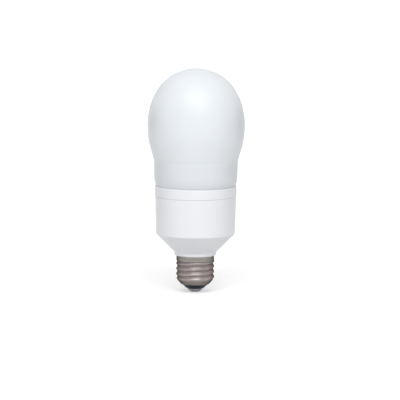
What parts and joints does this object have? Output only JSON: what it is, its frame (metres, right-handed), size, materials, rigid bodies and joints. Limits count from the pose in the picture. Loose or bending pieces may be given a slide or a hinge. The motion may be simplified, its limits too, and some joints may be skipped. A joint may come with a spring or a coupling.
{
  "type": "energy saving bulb",
  "caption": "Covered compact fluorescent bulb: opal pear-shaped globe, collar, tapered white ballast housing and a metal screw cap with glass insulator and centre contact.",
  "frame": {"origin": "tip of the centre contact's solder nub, on the bulb's axis", "axes": "+Z along the bulb's axis from the screw cap to the globe's crown; the picture is taken from the -Y side, with +X to the right"},
  "size_m": [0.0676, 0.0676, 0.1553],
  "materials": {
    "opal_glass": "opal white, satin to glossy",
    "white_plastic": "white moulded, slightly glossy",
    "shell_metal": "nickel-plated, rolled, brownish grey",
    "dark_glass": "opaque dark blue-black glass",
    "contact_metal": "tinned, dull",
    "solder": "bright solder"
  },
  "bodies": {
    "root": {"globe": "opal_glass", "collar": "white_plastic", "housing": "white_plastic", "screw_shell": "shell_metal", "insulator": "dark_glass", "centre_contact": "contact_metal", "contact_solder": "solder"}
  },
  "joints": []
}
